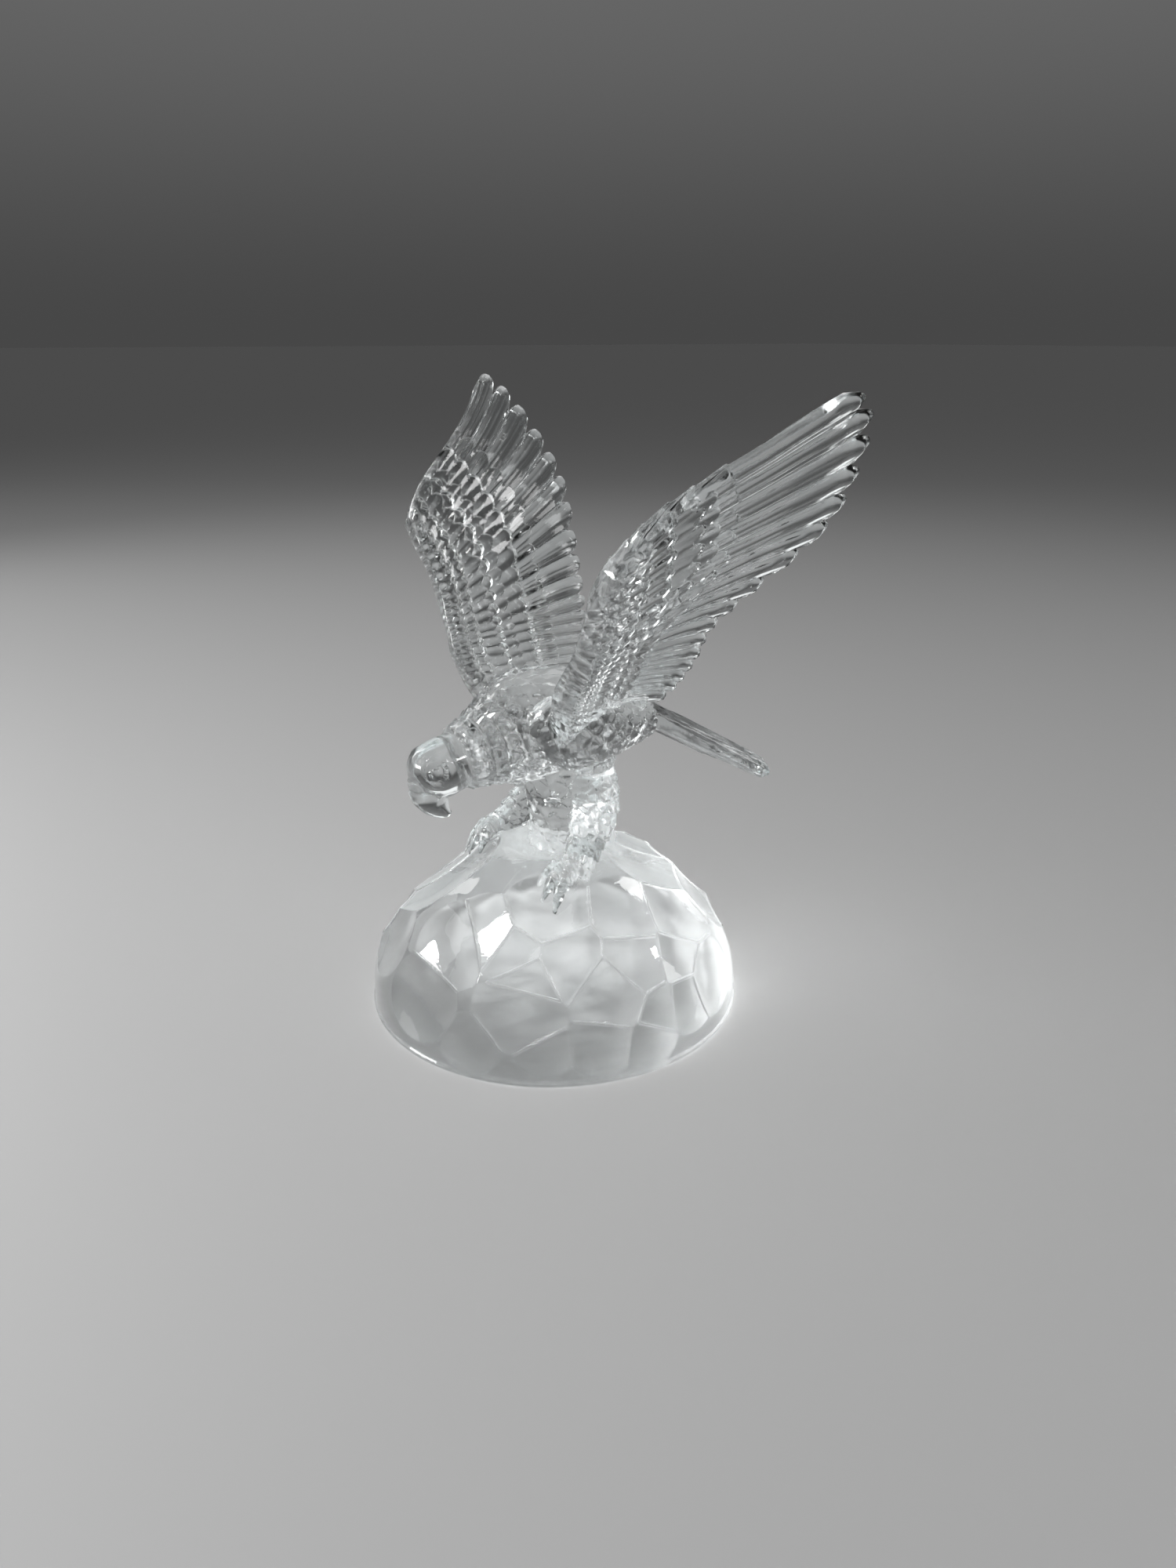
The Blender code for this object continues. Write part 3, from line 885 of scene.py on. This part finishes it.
@dataclass(frozen=True)
class Ring:
    """A circular groove or ridge round a figure point, mirrored on both sides."""

    centre: tuple[float, float, float]
    radius: float
    width: float
    rise: float

    def height(self, points: Array) -> Array:
        """A bell across the circle: rise * exp(-((distance - radius) / width) squared).

        Args:
            points: the points of a form.

        Returns:
            How far each point moves out.
        """
        mirrored = points.copy()
        mirrored[..., 0] = np.abs(mirrored[..., 0])
        gap = np.linalg.norm(mirrored - SPACE.place(self.centre), axis=-1)
        return self.rise * bump(gap - self.radius, self.width)


BACK = (
    (0.0, -25.6, 23.2, 2.0, 2.0),
    (0.0, -23.4, 23.4, 6.6, 6.2),
    (0.0, -19.0, 24.4, 8.2, 7.5),
    (0.0, -11.0, 26.2, 11.4, 10.4),
    (0.0, -1.0, 28.0, 12.6, 10.6),
    (0.0, 9.0, 27.0, 12.0, 9.8),
    (0.0, 18.0, 25.2, 9.2, 7.0),
    (0.0, 25.5, 24.0, 5.4, 3.6),
    (0.0, 27.0, 23.6, 1.0, 1.0),
)
BELLY = (
    (0.0, 3.0, 32.0, 6.0, 8.0),
    (0.0, 3.4, 26.0, 10.6, 10.8),
    (0.0, 3.8, 18.0, 10.2, 10.6),
    (0.0, 4.8, 10.0, 9.6, 9.8),
    (0.0, 5.2, 3.0, 9.2, 9.4),
    (0.0, 5.2, -5.0, 9.4, 10.0),
)
SKULL = (
    (0.0, -20.0, 24.0, 6.4, 6.0),
    (0.0, -24.4, 23.1, 6.5, 6.0),
    (0.0, -28.2, 22.1, 6.5, 6.2),
    (0.0, -31.0, 21.0, 5.6, 5.6),
    (0.0, -33.0, 20.2, 3.9, 4.2),
    (0.0, -34.2, 19.8, 2.0, 2.2),
    (0.0, -34.6, 19.7, 0.5, 0.5),
)
BEAK = (
    (-30.7, 20.4, 1.00, 4.5),
    (-30.7, 17.9, 0.97, 4.3),
    (-29.9, 15.8, 0.86, 3.7),
    (-28.9, 14.1, 0.66, 2.9),
    (-27.8, 12.8, 0.46, 2.0),
    (-26.8, 12.0, 0.28, 1.2),
    (-26.0, 11.7, 0.12, 0.6),
)
EYE = (4.4, -31.2, 23.2)
BROW = (
    (2.2, -33.2, 23.3, 0.5, 0.5),
    (4.0, -31.6, 24.9, 0.9, 0.9),
    (4.9, -28.6, 25.9, 0.4, 0.4),
)
SHOULDER = (
    (7.0, -13.0, 24.5, 2.4, 3.0),
    (10.2, -6.0, 28.0, 5.6, 7.6),
    (10.8, 4.0, 28.4, 5.6, 7.8),
    (9.0, 14.0, 27.0, 4.0, 5.6),
    (6.4, 20.0, 25.4, 1.6, 2.0),
)
LEG = (
    (5.6, 5.0, 17.0, 6.0, 6.6),
    (9.4, 4.4, 9.0, 5.4, 5.4),
    (13.0, -0.4, 2.8, 4.0, 3.8),
    (15.6, -5.0, -2.4, 3.0, 3.0),
)


@dataclass
class Head:
    """The bald head: skull, hooked beak, brows and eyes, with the carved lines of the face."""

    skull: Stations = SKULL
    beak: tuple[tuple[float, float, float, float], ...] = BEAK
    beak_width: float = 7.2 * MM
    brow: Stations = BROW
    eye: tuple[float, float, float] = EYE
    eye_radius: float = 1.2 * MM
    eye_fineness: int = 4
    face: tuple[Carving | Ring, ...] = (
        Ring(EYE, 1.8 * MM, 0.40 * MM, -0.65 * MM),
        Ring(EYE, 2.7 * MM, 0.45 * MM, 0.30 * MM),
    )
    mouth: tuple[Carving | Ring, ...] = (
        Carving(((3.6, -25.5, 17.4), (3.9, -28.0, 17.2), (3.4, -30.0, 16.4)), 0.45 * MM, -0.60 * MM),
        Carving(((0.0, -35.0, 18.9), (2.6, -33.6, 18.6), (3.9, -30.8, 18.4)), 0.45 * MM, -0.45 * MM),
    )

    def build(self) -> list[bpy.types.Object]:
        """Makes the forms of the head.

        Returns:
            Closed bodies that overlap each other.
        """
        half_width = self.beak_width / 2 / SPACE.unit
        beak = tuple((0.0, y, z, share * half_width, depth) for y, z, share, depth in self.beak)
        made = [
            RoundForm("skull", self.skull, rings=56, sides=72, carving=self.face + self.mouth).build(),
            RoundForm("beak", beak, rings=44, sides=40, carving=self.mouth).build(),
        ]
        for side in Side:
            made.append(RoundForm("brow", self.brow, rings=20, sides=16, side=side).build())
            eye = SPACE.place(self.eye) * (side.value, 1.0, 1.0)
            made.append(ball("eye", eye, self.eye_radius, self.eye_fineness))
        return made


@dataclass
class Foot:
    """Three ribbed toes that arch over the rock, each with a claw sunk in it."""

    side: Side
    rock: Rock
    ankle: tuple[float, float, float] = LEG[-1][:3]
    rings: int = 37
    sides: int = 16
    angles_deg: tuple[float, ...] = (-26.0, 0.0, 26.0)
    thickness: float = 3.6 * MM
    length: float = 7.7 * MM
    joints: int = 3
    ribs: int = 9
    rib: float = 0.12 * MM
    claw_point: float = 0.9 * MM
    claw_sink: float = 2.0 * MM
    arch: float = 0.55
    swell: float = 0.1
    height_ratio: float = 1.3

    def toe(self, angle_deg: float) -> bpy.types.Object:
        """Upright ovals square to the way the toe points, with a swell at each joint and fine ribs across.

        Args:
            angle_deg: how far the toe points outwards, in degrees.

        Returns:
            The toe as one closed body.
        """
        angle = radians(angle_deg)
        ankle = SPACE.place(self.ankle) * (self.side.value, 1.0, 1.0)
        heading = np.array((self.side.value * np.sin(angle), -np.cos(angle), 0.0))
        across = np.array((heading[1], -heading[0], 0.0))
        shares = np.linspace(0.0, 1.0, self.rings)
        spine = ankle + heading * (self.length * shares)[:, None]
        spine[:, 2] = self.rock.dome_height_at(spine[:, 0], spine[:, 1])
        spine[:, 2] += self.arch * self.thickness * (1 - shares**4) - self.claw_sink * shares**4
        swell = 1 - self.swell * np.cos(self.joints * 2 * np.pi * shares)
        half = self.thickness / 2 * swell * (1 - shares**3) + self.claw_point / 2 * shares**3
        half = half + self.rib * np.cos(self.ribs * 2 * np.pi * shares) * (1 - shares**2)
        turn = np.linspace(0, 2 * np.pi, self.sides, endpoint=False)
        up = np.array((0.0, 0.0, self.height_ratio))
        circle = across * np.cos(turn)[:, None] + up * np.sin(turn)[:, None]
        return RingForm("toe", spine[:, None] + circle * half[:, None, None]).build()

    def build(self) -> list[bpy.types.Object]:
        """Makes the toes."""
        return [self.toe(angle) for angle in self.angles_deg]


@dataclass
class Body:
    """The feathered trunk, shoulders and legs, each with feathers of a size that suits it."""

    back: Stations = BACK
    belly: Stations = BELLY
    shoulder: Stations = SHOULDER
    leg: Stations = LEG
    back_plumage: Plumage = Plumage(18, 18)
    belly_plumage: Plumage = Plumage(12, 16)
    shoulder_plumage: Plumage = Plumage(11, 12)
    leg_plumage: Plumage = Plumage(9, 12)

    def build(self) -> list[bpy.types.Object]:
        """Makes the forms of the body.

        Returns:
            Closed bodies that overlap each other.
        """
        made = [
            RoundForm("back_and_neck", self.back, rings=150, sides=140, plumage=self.back_plumage).build(),
            RoundForm("belly", self.belly, rings=84, sides=126, plumage=self.belly_plumage).build(),
        ]
        for side in Side:
            shoulder = RoundForm("shoulder", self.shoulder, 84, 84, side, self.shoulder_plumage)
            made.append(shoulder.build())
            leg = RoundForm("leg", self.leg, 72, 72, side, self.leg_plumage)
            made.append(leg.build())
        return made


# Finish


@dataclass(frozen=True)
class GlassFinish:
    """Clear lead glass, cool and faintly uneven where the mould and the polish left their mark."""

    tint: tuple[float, float, float, float] = (0.955, 0.975, 0.975, 1.0)
    deep_tint: tuple[float, float, float, float] = (0.90, 0.945, 0.95, 1.0)
    ior: float = 1.53
    polish: float = 0.0
    worn: float = 0.045
    wear_from: float = 0.45
    wear_to: float = 0.75
    wave_scale: float = 95.0
    wave_detail: float = 1.5
    wave_depth: float = 0.35 * MM
    grain_scale: float = 900.0
    grain_detail: float = 3.0
    grain_depth: float = 0.012 * MM
    noise_roughness: float = 0.45
    ridge_radius: float = 0.45 * MM
    ridge_samples: int = 4
    ground: float = 0.32
    ground_height: float = 0.05 * MM

    def surface_group(self) -> bpy.types.NodeTree:
        """The surface of the glass, in object coordinates.

        Slow waves and a fine grain, from two noises, bump a normal that is rounded over the ridges. The
        polish is a little worn where the waves are high, and the underside is ground matt.

        Returns:
            The node group, which puts out colour, roughness and normal.
        """
        tree = bpy.data.node_groups.new("moulded_glass", "ShaderNodeTree")
        for name, kind in (
            ("Colour", "NodeSocketColor"),
            ("Roughness", "NodeSocketFloat"),
            ("Normal", "NodeSocketVector"),
        ):
            tree.interface.new_socket(name=name, in_out="OUTPUT", socket_type=kind)
        nodes, links = tree.nodes, tree.links
        out = nodes.new("NodeGroupOutput")
        place = nodes.new("ShaderNodeTexCoord")
        waves = self.noise(nodes, self.wave_scale, self.wave_detail)
        grain = self.noise(nodes, self.grain_scale, self.grain_detail)
        for noise in (waves, grain):
            links.new(place.outputs["Object"], noise.inputs["Vector"])
        slow = nodes.new("ShaderNodeBump")
        slow.inputs["Strength"].default_value = 1.0
        slow.inputs["Distance"].default_value = self.wave_depth
        links.new(waves.outputs["Fac"], slow.inputs["Height"])
        ridge = nodes.new("ShaderNodeBevel")
        ridge.samples = self.ridge_samples
        ridge.inputs["Radius"].default_value = self.ridge_radius
        links.new(ridge.outputs["Normal"], slow.inputs["Normal"])
        fine = nodes.new("ShaderNodeBump")
        fine.inputs["Strength"].default_value = 1.0
        fine.inputs["Distance"].default_value = self.grain_depth
        links.new(grain.outputs["Fac"], fine.inputs["Height"])
        links.new(slow.outputs["Normal"], fine.inputs["Normal"])
        links.new(fine.outputs["Normal"], out.inputs["Normal"])
        wear = nodes.new("ShaderNodeMapRange")
        wear.inputs["From Min"].default_value = self.wear_from
        wear.inputs["From Max"].default_value = self.wear_to
        wear.inputs["To Min"].default_value = self.polish
        wear.inputs["To Max"].default_value = self.worn
        links.new(waves.outputs["Fac"], wear.inputs["Value"])
        parts = nodes.new("ShaderNodeSeparateXYZ")
        links.new(place.outputs["Object"], parts.inputs["Vector"])
        under = nodes.new("ShaderNodeMath")
        under.operation = "LESS_THAN"
        under.inputs[1].default_value = self.ground_height
        links.new(parts.outputs["Z"], under.inputs[0])
        rough = nodes.new("ShaderNodeMix")
        rough.inputs["B"].default_value = self.ground
        links.new(under.outputs["Value"], rough.inputs["Factor"])
        links.new(wear.outputs["Result"], rough.inputs["A"])
        links.new(rough.outputs["Result"], out.inputs["Roughness"])
        tint = nodes.new("ShaderNodeMix")
        tint.data_type = "RGBA"
        tint.inputs["A"].default_value = self.tint
        tint.inputs["B"].default_value = self.deep_tint
        links.new(waves.outputs["Fac"], tint.inputs["Factor"])
        links.new(tint.outputs["Result"], out.inputs["Colour"])
        return tree

    def noise(self, nodes: bpy.types.Nodes, scale: float, detail: float) -> bpy.types.Node:
        """A noise of one size.

        Args:
            nodes: the nodes of the tree that gets it.
            scale: how many waves go into a metre.
            detail: how many finer noises are laid over it.

        Returns:
            The noise node.
        """
        made = nodes.new("ShaderNodeTexNoise")
        made.inputs["Scale"].default_value = scale
        made.inputs["Detail"].default_value = detail
        made.inputs["Roughness"].default_value = self.noise_roughness
        return made

    def material(self) -> bpy.types.Material:
        """The see-through glass, with plain values for what doesn't vary.

        Returns:
            The material.
        """
        made = bpy.data.materials.new("clear_glass_look")
        made.use_nodes = True
        nodes, links = made.node_tree.nodes, made.node_tree.links
        shader = nodes["Principled BSDF"]
        shader.inputs["Metallic"].default_value = 0.0
        shader.inputs["Transmission Weight"].default_value = 1.0
        shader.inputs["IOR"].default_value = self.ior
        surface = nodes.new("ShaderNodeGroup")
        surface.node_tree = self.surface_group()
        links.new(surface.outputs["Colour"], shader.inputs["Base Color"])
        links.new(surface.outputs["Roughness"], shader.inputs["Roughness"])
        links.new(surface.outputs["Normal"], shader.inputs["Normal"])
        self.let_shadows_through(made.node_tree)
        return made

    @staticmethod
    def let_shadows_through(tree: bpy.types.NodeTree) -> None:
        """Lets the rays of lamps pass by a Transparent shader, so that they light what is behind the glass.

        Args:
            tree: the nodes of the glass material.
        """
        nodes, links = tree.nodes, tree.links
        clear = nodes.new("ShaderNodeBsdfTransparent")
        path = nodes.new("ShaderNodeLightPath")
        mix = nodes.new("ShaderNodeMixShader")
        links.new(path.outputs["Is Shadow Ray"], mix.inputs["Fac"])
        links.new(nodes["Principled BSDF"].outputs["BSDF"], mix.inputs[1])
        links.new(clear.outputs["BSDF"], mix.inputs[2])
        links.new(mix.outputs["Shader"], nodes["Material Output"].inputs["Surface"])


# Whole piece


@dataclass
class GlassEagle:
    """The eagle and its rock, moulded together as one closed body of glass."""

    rock: Rock = field(default_factory=Rock)
    finish: GlassFinish = GlassFinish()
    rock_crease_deg: float = 14.0
    eagle_crease_deg: float = 42.0
    rock_top: float = 33.0 * MM

    def build(self) -> bpy.types.Object:
        """Builds every form, joins them and gives the body its glass.

        Returns:
            The eagle on its rock.
        """
        forms = Body().build() + Head().build() + [Tail().build()]
        for side in Side:
            forms.append(Wing(side).build())
            forms += Foot(side, self.rock).build()
        for form in forms:
            log.info("form %s: %d faces", form.name, len(form.data.polygons))
        block = self.rock.build()
        log.info("rock: %d faces", len(block.data.polygons))
        made = combine(block, forms, "UNION")
        made.name = made.data.name = "glass_eagle"
        self.shade(made.data)
        made.data.materials.clear()
        made.data.materials.append(self.finish.material())
        made.data.calc_loop_triangles()
        log.info("glass_eagle: %d triangles", len(made.data.loop_triangles))
        return made

    @staticmethod
    def sharp_edges(mesh: bpy.types.Mesh, crease_deg: float) -> Array:
        """Marks the edges whose two faces turn by more than an angle.

        Args:
            mesh: the mesh to mark.
            crease_deg: the angle in degrees.

        Returns:
            Whether each edge is sharp.
        """
        mesh.set_sharp_from_angle(angle=radians(crease_deg))
        sharp = np.zeros(len(mesh.edges), bool)
        mesh.attributes["sharp_edge"].data.foreach_get("value", sharp)
        return sharp

    def shade(self, mesh: bpy.types.Mesh) -> None:
        """Smooth shading, with an edge kept sharp where its two faces turn by more than a crease angle.

        The rock's ridges are shallower than the feathers' steps, so its angle is smaller.

        Args:
            mesh: the joined body.
        """
        mesh.shade_smooth()
        points = np.empty(len(mesh.vertices) * 3, np.float32)
        mesh.vertices.foreach_get("co", points)
        height = points.reshape(-1, 3)[:, 2]
        ends = np.empty(len(mesh.edges) * 2, np.int32)
        mesh.edges.foreach_get("vertices", ends)
        on_rock = (height[ends.reshape(-1, 2)] < self.rock_top).all(axis=1)
        eagle_edges = self.sharp_edges(mesh, self.eagle_crease_deg)
        rock_edges = self.sharp_edges(mesh, self.rock_crease_deg)
        sharp = np.where(on_rock, rock_edges, eagle_edges)
        mesh.attributes["sharp_edge"].data.foreach_set("value", sharp)
        mesh.update()


# Studio


@dataclass(frozen=True)
class Softbox:
    """A soft rectangular light that faces the object."""

    name: str
    place: tuple[float, float, float]
    size: tuple[float, float]
    power: float

    def build(self, target: Vector) -> None:
        """Adds the light.

        Args:
            target: the point it faces.
        """
        lamp = bpy.data.lights.new(self.name, "AREA")
        lamp.shape = "RECTANGLE"
        lamp.size, lamp.size_y = self.size
        lamp.energy = self.power
        made = bpy.data.objects.new(self.name, lamp)
        made.location = self.place
        made.visible_camera = False
        made.rotation_euler = (target - made.location).to_track_quat("-Z", "Y").to_euler()
        bpy.context.scene.collection.objects.link(made)


@dataclass
class Studio:
    """A plain pale floor, soft light and the camera at the photograph's angle."""

    camera_place: tuple[float, float, float] = (0.1935, -0.1264, 0.136)
    azimuth_deg: float = 55.0
    tilt_deg: float = 20.9
    lens: float = 27.0
    sensor: float = 36.0
    clip: tuple[float, float] = (0.01, 50.0)
    floor_size: float = 30.0
    floor_drop: float = 0.02 * MM
    floor_tone: float = 0.42
    floor_roughness: float = 0.55
    surround: float = 0.125
    horizon: float = 0.057
    fade_top: float = 0.28
    exposure: float = 0.15
    bounces: int = 24
    transparent_bounces: int = 32
    target: tuple[float, float, float] = (0.0, 0.0, 0.065)
    lights: tuple[Softbox, ...] = (
        Softbox("key", (-0.11, -0.42, 0.45), (0.30, 0.30), 0.5),
        Softbox("key_heart", (-0.16, -0.34, 0.44), (0.10, 0.10), 1.2),
        Softbox("low_front", (-0.20, -0.46, 0.16), (0.14, 0.10), 0.70),
        Softbox("left_edge", (-0.58, -0.14, 0.34), (0.10, 0.40), 0.5),
        Softbox("left_wall", (-0.66, -0.66, 0.42), (0.90, 0.60), 2.0),
        Softbox("back", (-0.50, 0.36, 0.52), (0.50, 0.30), 0.4),
        Softbox("right_edge", (0.20, 0.62, 0.36), (0.10, 0.40), 0.4),
        Softbox("far_wing", (0.28, 0.24, 0.52), (0.12, 0.12), 0.40),
        Softbox("right_heart", (0.44, 0.16, 0.40), (0.05, 0.05), 0.20),
        Softbox("overhead", (0.05, -0.03, 0.80), (0.30, 0.30), 0.2),
    )

    def floor_finish(self) -> bpy.types.Material:
        """A plain matt grey.

        Returns:
            The material.
        """
        made = bpy.data.materials.new("pale_floor")
        made.use_nodes = True
        shader = made.node_tree.nodes["Principled BSDF"]
        shader.inputs["Base Color"].default_value = (self.floor_tone,) * 3 + (1.0,)
        shader.inputs["Roughness"].default_value = self.floor_roughness
        return made

    def floor(self) -> bpy.types.Object:
        """A large flat floor, a hair under the glass.

        Returns:
            The floor.
        """
        half = self.floor_size / 2
        outline = ((-half, -half), (half, -half), (half, half), (-half, half))
        points = [(x, y, -self.floor_drop) for x, y in outline]
        mesh = bpy.data.meshes.new("floor")
        mesh.from_pydata(points, [], [(0, 1, 2, 3)])
        made = bpy.data.objects.new("floor", mesh)
        bpy.context.scene.collection.objects.link(made)
        mesh.materials.append(self.floor_finish())
        return made

    def camera(self) -> None:
        """The camera: it looks along the photograph's azimuth, tilted down, without roll."""
        a, t = radians(self.azimuth_deg), radians(self.tilt_deg)
        forward = Vector((-np.sin(a) * np.cos(t), np.cos(a) * np.cos(t), -np.sin(t)))
        lens = bpy.data.cameras.new("camera")
        lens.lens, lens.sensor_width = self.lens, self.sensor
        lens.clip_start, lens.clip_end = self.clip
        made = bpy.data.objects.new("camera", lens)
        made.location = self.camera_place
        made.rotation_euler = forward.to_track_quat("-Z", "Y").to_euler()
        bpy.context.scene.collection.objects.link(made)
        bpy.context.scene.camera = made

    def sky(self) -> bpy.types.World:
        """A grey surround: as dark as the far floor at the horizon, and lighter above it without a line.

        Its strength rises by the smooth step t * t * (3 - 2 t) with the height of the direction.

        Returns:
            The world.
        """
        world = bpy.data.worlds.new("surround")
        world.use_nodes = True
        nodes, links = world.node_tree.nodes, world.node_tree.links
        direction = nodes.new("ShaderNodeTexCoord")
        parts = nodes.new("ShaderNodeSeparateXYZ")
        fade = nodes.new("ShaderNodeMapRange")
        fade.interpolation_type = "SMOOTHSTEP"
        fade.inputs["From Min"].default_value = 0.0
        fade.inputs["From Max"].default_value = self.fade_top
        fade.inputs["To Min"].default_value = self.horizon
        fade.inputs["To Max"].default_value = self.surround
        sky = nodes["Background"]
        sky.inputs["Color"].default_value = (1.0, 1.0, 1.0, 1.0)
        links.new(direction.outputs["Generated"], parts.inputs["Vector"])
        links.new(parts.outputs["Z"], fade.inputs["Value"])
        links.new(fade.outputs["Result"], sky.inputs["Strength"])
        return world

    def build(self) -> None:
        """Adds floor, surround, lights and camera."""
        self.floor()
        bpy.context.scene.world = self.sky()
        for light in self.lights:
            light.build(Vector(self.target))
        self.camera()
        scene = bpy.context.scene
        scene.view_settings.view_transform = "Standard"
        scene.view_settings.exposure = self.exposure
        scene.cycles.max_bounces = self.bounces
        scene.cycles.transmission_bounces = self.bounces
        scene.cycles.transparent_max_bounces = self.transparent_bounces


def main() -> None:
    """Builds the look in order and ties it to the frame."""
    logging.basicConfig(level=logging.INFO, format="%(name)s: %(message)s")
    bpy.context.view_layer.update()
    eagle = GlassEagle().build()
    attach(eagle, "root")
    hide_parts(NODE)
    Studio().build()


if __name__ == "__main__":
    main()
